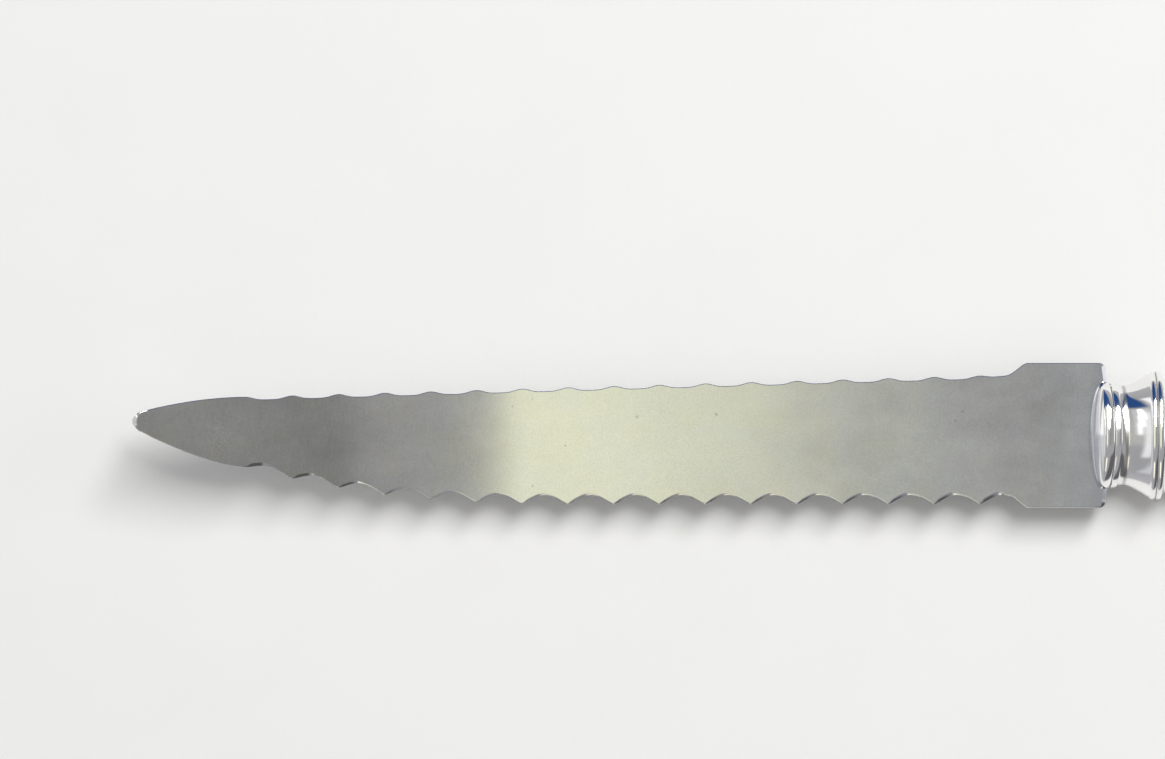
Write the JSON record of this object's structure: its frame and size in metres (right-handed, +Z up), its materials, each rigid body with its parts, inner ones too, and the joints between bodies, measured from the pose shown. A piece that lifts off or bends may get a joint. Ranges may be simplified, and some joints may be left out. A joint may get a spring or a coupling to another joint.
{
  "type": "grapefruit knife",
  "caption": "Grapefruit knife with a long double-edged scalloped blade, upturned at its round tip, set in a slotted cap on a hollow metal handle.",
  "frame": {"origin": "on the surface that the knife lies on, under the middle of its length and width", "axes": "+X along the knife from tip to butt, +Y towards the shallow scalloped edge, +Z up out of the blade's broad face, the way the tip turns"},
  "size_m": [0.211, 0.0166, 0.011],
  "materials": {
    "blade_steel": "satin ground stainless steel with a fine even grain",
    "handle_silver": "polished silver with fine wear scratches",
    "solder": "silver solder, filed flush and polished",
    "cement": "dull dark resin cement"
  },
  "bodies": {
    "root": {"blade": "blade_steel", "front_cap": "handle_silver", "handle_upper_half": "handle_silver", "handle_lower_half": "handle_silver", "seam_solder": "solder", "handle_cement": "cement"}
  },
  "joints": []
}
